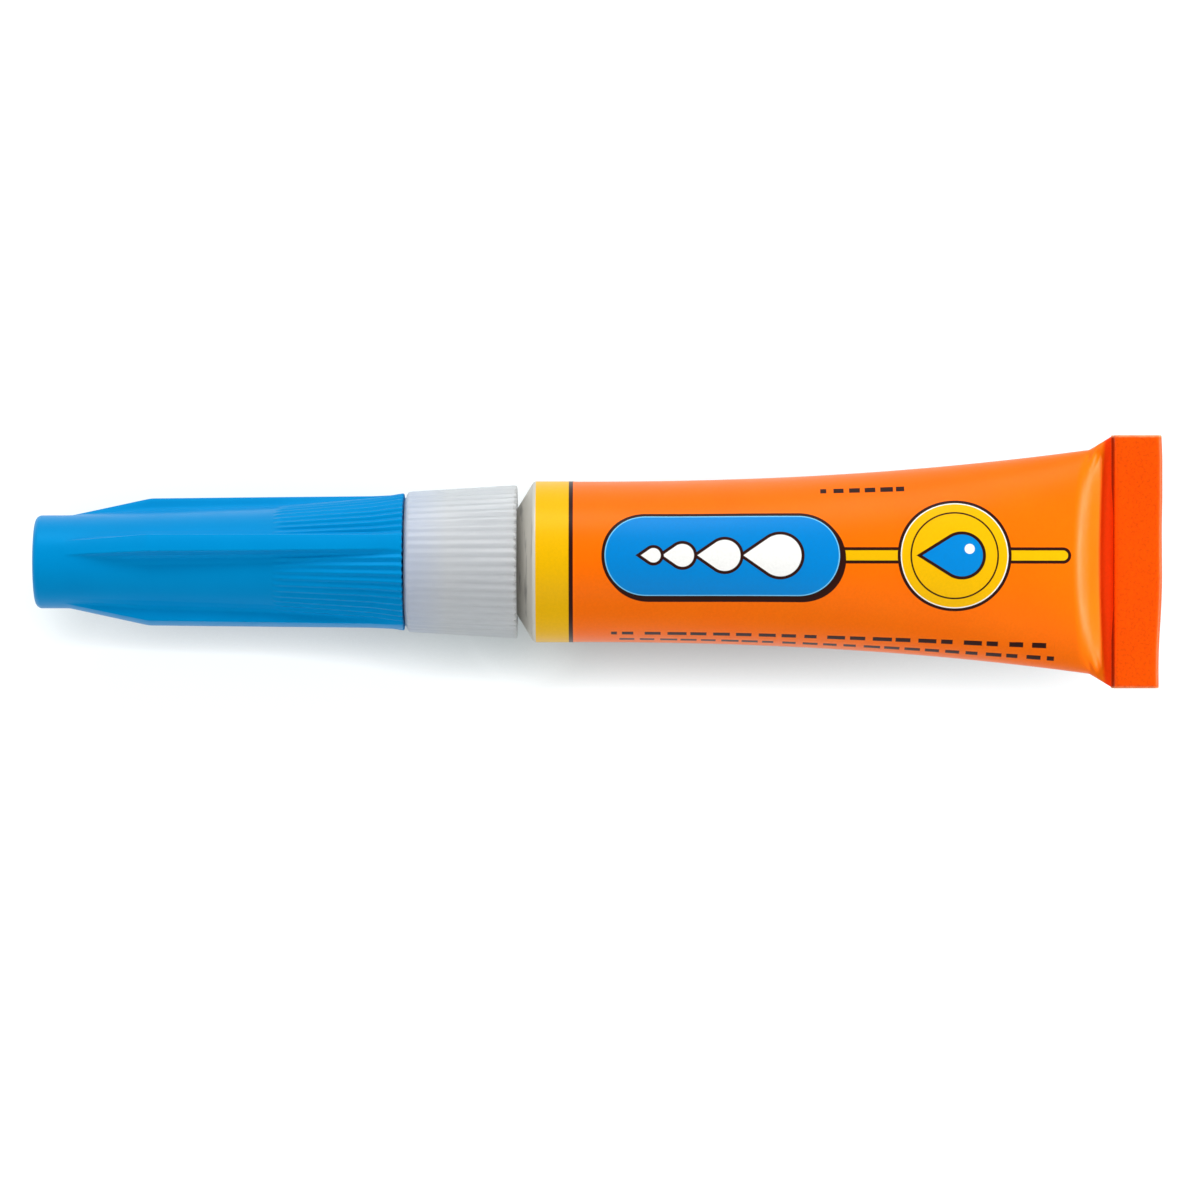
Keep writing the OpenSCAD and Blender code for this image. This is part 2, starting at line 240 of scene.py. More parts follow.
class Paint:
    """A material with a principled shader, and short calls that add nodes to it."""

    def __init__(self, name, **constants):
        self.material = bpy.data.materials.new(name)
        self.material.use_nodes = True
        self.nodes = self.material.node_tree.nodes
        self.links = self.material.node_tree.links
        self.shader = self.nodes["Principled BSDF"]
        for socket, value in constants.items():
            self.set(socket.replace("_", " "), value)

    def feed(self, socket, value):
        if isinstance(value, bpy.types.NodeSocket):
            self.links.new(value, socket)
        else:
            socket.default_value = value

    def set(self, socket, value):
        self.feed(self.shader.inputs[socket], value)

    def add(self, kind, **inputs):
        node = self.nodes.new(kind)
        for socket, value in inputs.items():
            self.feed(node.inputs[socket], value)
        return node

    def math(self, operation, *terms, clamp=False):
        node = self.nodes.new("ShaderNodeMath")
        node.operation = operation
        node.use_clamp = clamp
        for socket, term in zip(node.inputs, terms):
            self.feed(socket, term)
        return node.outputs[0]

    def place(self):
        """Coordinates in the object's own frame, in metres."""
        return self.add("ShaderNodeTexCoord").outputs["Object"]

    def split(self, vector):
        node = self.add("ShaderNodeSeparateXYZ", Vector=vector)
        return node.outputs[0], node.outputs[1], node.outputs[2]

    def noise(self, size, detail=3.0, roughness=0.55, stretch=(1, 1, 1)):
        """Noise from 0 to 1 whose blotches are about that size in millimetres."""
        place = self.place()
        if stretch != (1, 1, 1):
            mapping = self.add("ShaderNodeMapping", Vector=place, Scale=stretch)
            place = mapping.outputs[0]
        node = self.add("ShaderNodeTexNoise", Vector=place, Scale=1 / (size * MM),
                        Detail=detail, Roughness=roughness)
        return node.outputs[0]

    def span(self, value, low, high):
        """Value from 0 to 1 mapped to the span from low to high."""
        return self.math("MULTIPLY_ADD", value, high - low, low)

    def mix(self, share, below, above):
        node = self.nodes.new("ShaderNodeMix")
        node.data_type = "RGBA"
        self.feed(node.inputs[0], share)
        self.feed(node.inputs[6], below)
        self.feed(node.inputs[7], above)
        return node.outputs[2]

    def bump(self, height, strength, depth):
        """Fine relief of that depth in millimetres."""
        node = self.add("ShaderNodeBump", Strength=strength, Distance=depth * MM, Height=height)
        self.set("Normal", node.outputs[0])


class Print:
    """Shapes printed on the sleeve, in millimetres: along the tube, and round it from the top line."""

    EDGE = 0.035

    def __init__(self, paint):
        self.paint = paint
        uv = paint.nodes.new("ShaderNodeUVMap")
        uv.uv_map = "print"
        self.along, self.across, _ = paint.split(uv.outputs[0])

    def fill(self, distance):
        """Share covered by a shape, from the signed distance to its outline."""
        return self.paint.math("MULTIPLY_ADD", distance, -1 / self.EDGE, 0.5, clamp=True)

    def offset(self, along, across):
        math = self.paint.math
        return math("SUBTRACT", self.along, along), math("SUBTRACT", self.across, across)

    def length(self, dx, dy):
        math = self.paint.math
        return math("SQRT", math("MULTIPLY_ADD", dx, dx, math("MULTIPLY", dy, dy)))

    def disc(self, along, across, radius):
        return self.paint.math("SUBTRACT", self.length(*self.offset(along, across)), radius)

    def capsule(self, along, across, half_length, radius):
        """Round-ended bar; half_length counts to the centres of its ends."""
        math = self.paint.math
        dx, dy = self.offset(along, across)
        past = math("MAXIMUM", math("SUBTRACT", math("ABSOLUTE", dx), half_length), 0.0)
        return math("SUBTRACT", self.length(past, dy), radius)

    def drop(self, along, across, radius, reach):
        """Drop of liquid whose point lies that far from its centre, towards the nozzle."""
        math = self.paint.math
        dx, dy = self.offset(along, across)
        forward, side = math("MULTIPLY", dx, -1.0), math("ABSOLUTE", dy)
        sine = radius / reach
        cosine = float(np.sqrt(1 - sine ** 2))
        bowl = math("SUBTRACT", self.length(dx, dy), radius)
        flank = math("SUBTRACT", math("MULTIPLY_ADD", side, cosine,
                                      math("MULTIPLY", forward, sine)), radius)
        ahead = math("MULTIPLY_ADD", forward, cosine, math("MULTIPLY", side, -sine))
        on_flank = math("GREATER_THAN", ahead, 0.0)
        swap = math("SUBTRACT", flank, bowl)
        return math("MULTIPLY_ADD", on_flank, swap, bowl)

    def strip(self, start, end):
        """Band round the tube between two stations."""
        math = self.paint.math
        middle, half = (start + end) / 2, (end - start) / 2
        away = math("ABSOLUTE", math("SUBTRACT", self.along, middle))
        return math("SUBTRACT", away, half)

    def dashes(self, across, height, start, end, pitch, seed):
        """Row of short bars of uneven length."""
        math = self.paint.math
        cells = math("DIVIDE", self.along, pitch)
        noise = self.paint.nodes.new("ShaderNodeTexWhiteNoise")
        noise.noise_dimensions = "1D"
        self.paint.feed(noise.inputs["W"], math("ADD", math("FLOOR", cells), seed))
        shortest, longest = 0.5, 0.86
        share = self.paint.span(noise.outputs[0], shortest, longest)
        past = math("MULTIPLY", math("SUBTRACT", math("FRACT", cells), share), pitch)
        before = math("MULTIPLY", math("FRACT", cells), -pitch)
        ends = math("MAXIMUM", past, before)
        _, dy = self.offset(0.0, across)
        sides = math("SUBTRACT", math("ABSOLUTE", dy), height / 2)
        return math("MAXIMUM", math("MAXIMUM", ends, sides), self.strip(start, end))


# Materials

ORANGE = srgb(255, 118, 0)
DEEP_ORANGE = srgb(255, 108, 0)
FOLD_ORANGE = srgb(255, 90, 0)
FOLD_RED = srgb(250, 80, 0)
VALLEY_SHADE_RED = srgb(250, 64, 6)
SHADE_AND_SPECK_RED = srgb(140, 24, 6)
PEACH = srgb(255, 186, 130)
YELLOW = srgb(240, 184, 2)
DARK = srgb(42, 14, 8)
BLUE = srgb(0, 132, 210)
PALE_BLUE = srgb(120, 200, 240)
WHITE = srgb(245, 245, 242)


def enamel(name, printed):
    """Satin enamel on soft metal: fine orange peel, faint scuffs and, on the sleeve, the printed label;
    painted shade and a painted highlight at the fold.
    """
    paint = Paint(name, Specular_IOR_Level=0.35)
    cloud = paint.noise(6.0)
    if printed:
        colour = label(paint, paint.mix(cloud, ORANGE, DEEP_ORANGE))
    else:
        colour = fold_wear_and_painted_light(paint, paint.mix(cloud, FOLD_ORANGE, FOLD_RED))
    grain = paint.math("MULTIPLY_ADD", paint.noise(0.22, detail=2.0), 3.0, -1.0, clamp=True)
    speck, most = (DARK, 0.05) if printed else (SHADE_AND_SPECK_RED, 0.3)
    colour = paint.mix(paint.span(grain, 0.0, most), colour, speck)
    paint.set("Base Color", colour)
    paint.set("Specular Tint", paint.mix(0.2, colour, WHITE))
    scuff = paint.noise(1.6, detail=6.0, stretch=(0.35, 1, 1))
    paint.set("Roughness", paint.span(scuff, 0.3, 0.46))
    paint.bump(paint.noise(0.35, detail=2.0), 0.25, 0.02)
    return paint.material


def fold_wear_and_painted_light(paint, colour):
    """Paler enamel along the sharp ends of the fold, partly wear and partly a painted highlight, and a dark
    line of painted shade in the corner that it makes.
    """
    x, y, _ = paint.split(paint.place())
    # Painted shade: a dark red line in the corner where the fold rises from the sleeve
    corner_l = 0.11
    corner = paint.math("MULTIPLY_ADD", x, -1 / (corner_l * MM), 1 + FOLD_X / corner_l, clamp=True)
    colour = paint.mix(paint.math("MULTIPLY", corner, 0.8), colour, SHADE_AND_SPECK_RED)
    # Partly wear and partly a painted highlight: paler peach enamel along both ends of the strip
    hem_l = 0.22
    uneven = paint.span(paint.noise(1.5), -0.12, 0.12)
    out = paint.math("ADD", paint.math("DIVIDE", paint.math("ABSOLUTE", y), MM), uneven)
    worn_and_sheen = paint.math("MULTIPLY_ADD", out, 1 / hem_l, 1 - FLAT_W / 2 / hem_l, clamp=True)
    return paint.mix(paint.math("MULTIPLY", worn_and_sheen, 0.75), colour, PEACH)


def label(paint, colour):
    """Stripes at the shoulder, a capsule with drops, a disc with one drop, rows of dashes, and painted shade
    in the valley at the fold.
    """
    shapes = Print(paint)
    level, outline, keyline = 0.5, 0.26, 0.09

    # Painted shade: the enamel is painted darker and redder in the valley at the fold, which narrows towards
    # both sides
    valley_l, side_l, blend_l = 1.35, 0.85, 0.3
    narrow = (valley_l - side_l) / (FLAT_W / 2) ** 2
    bow = paint.math("MULTIPLY", paint.math("MULTIPLY", shapes.across, shapes.across), narrow)
    inside = paint.math("SUBTRACT", paint.math("SUBTRACT", shapes.along, FOLD_X - valley_l), bow)
    colour = paint.mix(paint.math("DIVIDE", inside, blend_l, clamp=True), colour, VALLEY_SHADE_RED)

    def lay(colour, distance, ink):
        return paint.mix(shapes.fill(distance), colour, ink)

    def grown(distance, margin):
        return paint.math("SUBTRACT", distance, margin)

    def outlined(colour, distance, ink):
        return lay(lay(colour, grown(distance, outline), DARK), distance, ink)

    band_start, band_end, line_end = SHOULDER_X - 1.0, SKIRT_X - 0.32, SKIRT_X + 0.03
    colour = lay(colour, shapes.strip(band_start, band_end), YELLOW)
    colour = lay(colour, shapes.strip(band_end, line_end), DARK)

    # Stripe that runs from the capsule to the tail
    stripe_x, stripe_half, stripe_r = 28.0, 10.6, 0.42
    colour = outlined(colour, shapes.capsule(stripe_x, level, stripe_half, stripe_r), YELLOW)

    # Capsule on its printed shadow, with drops that shrink towards the nozzle
    panel_x, panel_half, panel_r = 10.2, 6.3, 3.45
    shadow_along, shadow_across, drop_reach = 0.25, -0.3, 1.75
    panel = shapes.capsule(panel_x, level, panel_half, panel_r)
    shadow = shapes.capsule(panel_x + shadow_along, level + shadow_across, panel_half, panel_r)
    colour = lay(colour, grown(shadow, outline), DARK)
    colour = outlined(colour, panel, PALE_BLUE)
    colour = lay(colour, grown(panel, -keyline), BLUE)
    for along, radius in ((15.0, 1.75), (10.4, 1.3), (6.9, 0.95), (4.5, 0.6)):
        colour = outlined(colour, shapes.drop(along, level, radius, drop_reach * radius), WHITE)

    # Disc with a fine circle, one drop and its glint
    disc_x, disc_r, circle_r, circle_w = 29.5, 4.5, 3.7, 0.14
    drop_x, drop_r, drop_l = 30.1, 1.75, 3.3
    glint_along, glint_across, glint_r = 0.65, 0.55, 0.42
    disc = shapes.disc(disc_x, level, disc_r)
    colour = outlined(colour, disc, WHITE)
    colour = lay(colour, grown(disc, -keyline), YELLOW)
    circle = shapes.disc(disc_x, level, circle_r)
    colour = lay(colour, circle, DARK)
    colour = lay(colour, grown(circle, -circle_w), YELLOW)
    colour = outlined(colour, shapes.drop(drop_x, level, drop_r, drop_l), BLUE)
    glint = shapes.disc(drop_x + glint_along, level + glint_across, glint_r)
    colour = lay(colour, glint, WHITE)

    # Rows of dashes: place round the tube, height, start and end along it, pitch and seed
    for row in ((6.6, 0.55, 18.4, 25.6, 1.3, 19.0), (-7.3, 0.5, 1.0, 38.0, 1.9, 3.0),
                (-8.6, 0.5, 1.0, 38.0, 1.7, 71.0)):
        colour = lay(colour, shapes.dashes(*row), DARK)
    return colour


def bare_aluminium():
    """Drawn aluminium with fine rings from the tool and a few streaks."""
    paint = Paint("bare_aluminium", Metallic=0.25)
    x, y, z = paint.split(paint.place())
    dz = paint.math("SUBTRACT", z, AXIS_Z * MM)
    turn = paint.math("ARCTAN2", y, dz)
    along = paint.math("MULTIPLY", x, 1 / (0.45 * MM))
    unrolled = paint.add("ShaderNodeCombineXYZ", X=along, Y=turn).outputs[0]
    streak = paint.add("ShaderNodeTexNoise", Vector=unrolled, Scale=1.3, Detail=4.0).outputs[0]
    crinkle = paint.math("MULTIPLY_ADD", streak, 6.0, -3.4, clamp=True)
    paint.set("Base Color", paint.mix(crinkle, srgb(198, 194, 184), srgb(135, 133, 129)))
    paint.set("Roughness", paint.span(paint.noise(0.5), 0.42, 0.6))
    radius = paint.math("SQRT", paint.math("MULTIPLY_ADD", y, y, paint.math("MULTIPLY", dz, dz)))
    rings = paint.math("SINE", paint.math("MULTIPLY", radius, TAU / (0.16 * MM)))
    paint.bump(rings, 0.3, 0.01)
    return paint.material


def cap_plastic():
    """Satin blue moulded plastic with a faint grain."""
    paint = Paint("blue_plastic", Specular_IOR_Level=0.32)
    cloud = paint.noise(5.0)
    paint.set("Base Color", paint.mix(cloud, srgb(0, 141, 206), srgb(0, 134, 199)))
    paint.set("Specular Tint", srgb(10, 190, 255))
    paint.set("Roughness", paint.span(paint.noise(0.8, detail=5.0), 0.34, 0.46))
    paint.bump(paint.noise(0.18, detail=2.0), 0.2, 0.012)
    return paint.material


def nozzle_plastic():
    """Milky polyethylene that lets some light through."""
    paint = Paint("white_plastic", Subsurface_Weight=1.0, Subsurface_Scale=0.004,
                  Subsurface_Radius=(1.0, 1.0, 1.0))
    cloud = paint.noise(3.0)
    milk = paint.mix(cloud, srgb(188, 192, 196), srgb(197, 200, 203))
    # Painted light: the collar's front end takes on a little of the cap's colour, painted bluish for the
    # cap's blue light that shows through it
    x, _, _ = paint.split(paint.place())
    tinge_l = 3.5 * MM
    away = paint.math("ABSOLUTE", paint.math("SUBTRACT", x, COLLAR_FRONT_X * MM))
    painted_cap_light = paint.math("MULTIPLY_ADD", away, -1 / tinge_l, 1.0, clamp=True)
    paint.set("Base Color", paint.mix(painted_cap_light, milk, srgb(182, 192, 211)))
    paint.set("Roughness", paint.span(paint.noise(0.7, detail=5.0), 0.34, 0.5))
    paint.bump(paint.noise(0.2, detail=2.0), 0.2, 0.012)
    return paint.material


def steel():
    paint = Paint("drawn_steel", Metallic=1.0)
    streak = paint.noise(0.1, stretch=(0.05, 1, 1))
    paint.set("Base Color", paint.mix(streak, srgb(170, 172, 176), srgb(205, 206, 209)))
    paint.set("Roughness", paint.span(streak, 0.22, 0.4))
    paint.bump(streak, 0.2, 0.005)
    return paint.material


def latex():
    paint = Paint("latex_film")
    paint.set("Base Color", paint.mix(paint.noise(0.8), srgb(226, 214, 180), srgb(240, 230, 204)))
    paint.set("Roughness", paint.span(paint.noise(0.3), 0.6, 0.8))
    paint.bump(paint.noise(0.15), 0.3, 0.01)
    return paint.material


def liquid():
    paint = Paint("clear_liquid", Transmission_Weight=0.9, IOR=1.45)
    paint.set("Base Color", paint.mix(paint.noise(4.0), srgb(236, 242, 246), srgb(246, 249, 250)))
    paint.set("Roughness", paint.span(paint.noise(2.0), 0.02, 0.06))
    return paint.material


enamel_printed = enamel("printed_enamel", True)
enamel_plain = enamel("plain_enamel", False)
aluminium = bare_aluminium()
blue_plastic = cap_plastic()
white_plastic = nozzle_plastic()


# Tube head: neck, conical shoulder and its bare edge

def thread(x, angle, start, end, lead, crest_r, depth):
    """Radius over a right-handed thread that runs out at both of its ends."""
    turn = (x - start) / lead + angle / TAU
    crest = 0.5 + 0.5 * np.cos(TAU * turn)
    fade = ease((x - start) / lead) * ease((end - x) / lead)
    return crest_r - depth + depth * fade * ease(crest)


def tube_head():
    angle = around(160)
    round_r, root_l = 0.15, 0.2
    bend_l, bend_h, bend_back = 0.15, 0.1, 0.05
    lead, depth, crest_r = 1.4, 0.3, NECK_R - 0.03
    core_r = crest_r - depth
    start, end = NECK_MOUTH_X + 0.3, NECK_ROOT_X - 0.5
    edge_x = SHOULDER_X + BARE_EDGE_L
    slope_step = HEAD_WALL * np.sqrt(1 + SHOULDER_RISE ** -2)
    inner_edge_x = SHOULDER_X + slope_step - HEAD_WALL / SHOULDER_RISE
    inner_neck_x = NECK_ROOT_X + slope_step - (NECK_R - NECK_BORE_R) / SHOULDER_RISE
    neck_x = np.linspace(NECK_MOUTH_X + round_r, NECK_ROOT_X - root_l, 60)
    neck = [ring(x, thread(x, angle, start, end, lead, crest_r, depth), angle) for x in neck_x]
    root = [(x, core_r + (NECK_R - core_r) * ease((x - neck_x[-1]) / root_l))
            for x in np.linspace(neck_x[-1] + 0.02, NECK_ROOT_X, 6)]
    cone_x = np.linspace(NECK_ROOT_X + 0.1, SHOULDER_X - round_r / SHOULDER_RISE, 14)
    cone = [(x, NECK_R + (x - NECK_ROOT_X) * SHOULDER_RISE) for x in cone_x]
    bend = [(SHOULDER_X + bend_l * np.sin(t) - bend_back, TUBE_R - bend_h * (1 - np.sin(t)))
            for t in np.linspace(-0.2, np.pi / 2, 6)]
    chain = [ring(NECK_MOUTH_X, core_r - round_r, angle)] + neck
    chain += turned(root + cone + bend, angle)
    chain += turned([(edge_x, TUBE_R), (edge_x, TUBE_R - HEAD_WALL), (inner_edge_x, TUBE_R - HEAD_WALL),
                     (inner_neck_x, NECK_BORE_R), (NECK_MOUTH_X, NECK_BORE_R)], angle)
    head = np.asarray(chain)
    head[..., 2] = np.maximum(head[..., 2], 0.0)
    return skin("tube_head", head, aluminium, loop=True)


# Tube sleeve

# Soft dents: place along and round the tube, depth, and reach along and round
DENTS = ((7.0, 5.2, 0.05, 4.5, 2.2), (13.0, -5.0, 0.06, 5.0, 2.4), (22.0, 4.6, 0.07, 6.0, 2.6),
         (28.0, -4.4, 0.07, 5.5, 3.0), (35.5, 4.0, 0.06, 3.2, 3.2), (36.5, -5.5, 0.06, 3.0, 2.6),
         (18.0, 15.0, 0.1, 9.0, 3.0), (27.0, -15.5, 0.1, 8.0, 3.0))

# Creases at the corners of the fold: place along and round the tube, depth, length, width and lean
CREASES = ((41.6, 8.7, 0.11, 0.9, 0.18, 0.35), (41.1, 9.2, 0.09, 0.7, 0.17, 0.5),
           (41.65, -8.4, 0.11, 1.0, 0.18, -0.3), (41.15, -9.1, 0.09, 0.7, 0.16, -0.5))


def wedge(to_fold, angle):
    """Share of the sleeve's thickness left at a distance to the fold: a slope into a valley."""
    # Valley and slope are longer in the middle of the tube than at its sides
    middle = np.cos(angle) ** 2
    valley_side, valley_swell, slope_side, slope_swell = 0.7, 1.5, 0.8, 0.3
    valley = VALLEY_L * (valley_side + valley_swell * middle)
    slope_l = WEDGE_L * (slope_side + slope_swell * middle)
    # The corner at the top of the slope is rounder than the one in the valley
    valley_round, round_growth = 0.4, 0.45
    softness = valley_round + round_growth * np.clip(to_fold, 0, WEDGE_L)
    shares = []
    for offset in np.linspace(-0.5, 0.5, 9):
        d = np.maximum(to_fold + offset * softness, 0)
        slope = VALLEY_SHARE + (1 - VALLEY_SHARE) * (d - valley) / (slope_l - valley)
        shares.append(np.where(d < valley, VALLEY_SHARE * d / valley, np.minimum(slope, 1)))
    return np.mean(shares, axis=0)


def sleeve_rings(xs, angle, wall=0.0):
    """Rings of the sleeve's skin, or of its lining where a wall is given.

    The girth stays the same along the sleeve, down to the wedge at the fold.
    """
    x, angle = xs[:, None], angle[None, :]
    u = np.clip((x - SKIRT_X) / (FOLD_X - SKIRT_X), 0, 1)
    slow = SLEEVE_R * (1 + FLAT_SPREAD * SPREAD_SHARE * u ** SPREAD_POWER)
    pinch = np.clip(1 - (FOLD_X - x) / PINCH_L, 0, 1)
    skirt = (TUBE_R - SLEEVE_R) * (1 - ease((x - SKIRT_X) / SKIRT_STEP_L))
    a = slow + SLEEVE_R * FLAT_SPREAD * (1 - SPREAD_SHARE) * pinch + skirt
    root = np.sqrt(3 * SLEEVE_R ** 2 + 6 * SLEEVE_R * slow - 5 * slow ** 2)
    full = (3 * SLEEVE_R - 2 * slow + root) / 3 - LAYER_T / 2
    b = LAYER_T / 2 + full * wedge(FOLD_X - x, angle) + skirt
    y, z = (a - wall) * np.sin(angle), np.maximum(b - wall, LEAST_HALF_T) * np.cos(angle)
    return np.stack(np.broadcast_arrays(x, y, AXIS_Z + z), axis=-1)


def arc_lengths(rings):
    """Distance round each ring from its top point, with the first point repeated at the end."""
    closed = np.concatenate([rings, rings[:, :1]], axis=1)
    steps = np.linalg.norm(np.diff(closed, axis=1), axis=2)
    total = np.concatenate([np.zeros((len(rings), 1)), np.cumsum(steps, axis=1)], axis=1)
    top = rings.shape[1] // 2
    return total - total[:, top:top + 1]


def tube_sleeve():
    sides = 224
    angle = around(sides, turn=-np.pi)
    front_x = SHOULDER_X + BARE_EDGE_L
    # The rings lie closer together behind this station
    dense_x = 36.0
    xs = np.concatenate([
        np.linspace(front_x, SKIRT_X - 0.05, 8), np.linspace(SKIRT_X, SKIRT_X + 0.3, 6),
        np.linspace(SKIRT_X + 0.6, dense_x, 78), np.linspace(dense_x + 0.2, FOLD_X, 72)])
    outer = sleeve_rings(xs, angle)
    across = arc_lengths(outer)
    dent = np.zeros(outer.shape[:2])
    for x, s, depth, reach_x, reach_s in DENTS:
        dent += depth * np.exp(-((xs[:, None] - x) / reach_x) ** 2 - ((across[:, :-1] - s) / reach_s) ** 2)
    fade_front_l, fade_back_l, smooth_l = 4.0, 3.0, 1.0
    fade = ease((xs - SKIRT_X) / fade_front_l) * ease((FOLD_X - smooth_l - xs) / fade_back_l)
    dent *= fade[:, None]
    for x, s, depth, length, width, lean in CREASES:
        along, aside = across[:, :-1] - s, xs[:, None] - x - lean * (across[:, :-1] - s)
        dent += depth * np.exp(-(along / length) ** 2 - (aside / width) ** 2)
    inward = np.stack([np.zeros(sides), -np.sin(angle), -np.cos(angle)], axis=-1)
    outer = outer + dent[..., None] * inward
    outer[..., 2] = np.maximum(outer[..., 2], 0.0)

    lining_x = np.concatenate([np.linspace(FOLD_X - 0.1, dense_x, 24),
                               np.linspace(dense_x - 1.0, SKIRT_X, 16)])
    lining = sleeve_rings(lining_x, angle, SLEEVE_WALL)
    lining[..., 2] = np.maximum(lining[..., 2], SLEEVE_WALL)
    bore_r = TUBE_R - HEAD_WALL
    skirt_bore = np.asarray(turned([(SKIRT_X, bore_r), (front_x, bore_r)], angle))
    chain = np.concatenate([lining, skirt_bore, outer])
    hidden = len(lining) + len(skirt_bore)
    along = np.broadcast_to(xs[:, None], across.shape)
    print_uv = np.zeros((len(chain), sides + 1, 2))
    print_uv[hidden:] = np.stack([along, across], axis=-1)
    print_uv[:hidden, :, 0] = FOLD_X
    return skin("tube_sleeve", chain, enamel_printed, print_uv=print_uv)


# Tail fold: one strip of flattened sleeve, rolled over twice

def fold_path():
    """Middle line of the strip in x and z: base layer, cover layer on top, and the raw end between them."""
    corner_gap, tuck_l, raw_gap = 0.03, 0.15, 0.1
    right_x = TAIL_X - LAYER_STEP - LAYER_T / 2
    left_x = FOLD_X + LAYER_T + corner_gap
    turn = np.linspace(-np.pi / 2, np.pi / 2, 17)[1:-1]
    base = [(x, 0.0) for x in np.linspace(FOLD_X - tuck_l, right_x, 12)]
    right = [(right_x + LAYER_STEP * np.cos(t), LAYER_STEP * (1 + np.sin(t))) for t in turn]
    cover = [(x, 2 * LAYER_STEP) for x in np.linspace(right_x, left_x, 12)]
    left = [(left_x - LAYER_STEP / 2 * np.cos(t), LAYER_STEP * (1.5 - np.sin(t) / 2)) for t in turn]
    raw = [(x, LAYER_STEP) for x in np.linspace(left_x, right_x - raw_gap, 8)]
    return np.array(base + right + cover + left + raw)


def tail_fold():
    path = fold_path()
    ahead = np.gradient(path, axis=0)
    ahead /= np.linalg.norm(ahead, axis=1, keepdims=True)
    normal = np.stack([ahead[:, 1], -ahead[:, 0]], axis=1)
    # The strip's ends are pressed down and a little thinner
    hem_share, hem_drop, end_t_share = 0.035, 0.12, 0.8
    columns = np.concatenate([np.linspace(-1, hem_share - 1, 6), np.linspace(-0.95, 0.95, 78),
                              np.linspace(1 - hem_share, 1, 6)])
    # The far edge runs a little askew and waves
    set_back, lean, wave, ripple = 0.12, 0.1, 0.1, 0.05
    reach = (path[:, 0] - FOLD_X) / FOLD_L
    points = np.zeros((len(columns), len(path), 2, 3))
    for j, share in enumerate(columns):
        y = share * FLAT_W / 2
        skew = -set_back + lean * share + wave * np.sin(2.6 * share + 1.1) - ripple * np.sin(6.3 * share)
        half_t = LAYER_T / 2 * (1 if abs(share) < 1 else end_t_share)
        drop = hem_drop * np.clip(1 - (1 - abs(share)) / hem_share, 0, 1) ** 2
        for side, sign in enumerate((1, -1)):
            edge = path + sign * half_t * normal
            x = edge[:, 0] + np.minimum(skew, 0) * np.clip(reach, 0, 1)
            z = edge[:, 1] - drop * (edge[:, 1] > 0)
            points[j, :, side] = np.stack([x, np.full(len(path), y), AXIS_Z + z], axis=1)
    verts = points.reshape(-1, 3) * MM
    index = np.arange(len(verts)).reshape(points.shape[:3])

    def quads(a, b, c, d):
        return np.stack([a, b, c, d], axis=-1).reshape(-1, 4).tolist()

    out, back = index[:, :, 0], index[:, :, 1]
    faces = quads(out[:-1, :-1], out[:-1, 1:], out[1:, 1:], out[1:, :-1])
    faces += quads(back[:-1, :-1], back[1:, :-1], back[1:, 1:], back[:-1, 1:])
    faces += quads(out[0, :-1], back[0, :-1], back[0, 1:], out[0, 1:])
    faces += quads(out[-1, :-1], out[-1, 1:], back[-1, 1:], back[-1, :-1])
    faces += quads(out[:-1, 0], out[1:, 0], back[1:, 0], back[:-1, 0])
    faces += quads(out[:-1, -1], back[:-1, -1], back[1:, -1], out[1:, -1])
    mesh = bpy.data.meshes.new("tail_fold")
    mesh.from_pydata(verts.tolist(), [], faces)
    return make_object("tail_fold", mesh, enamel_plain, 50)


# Nozzle

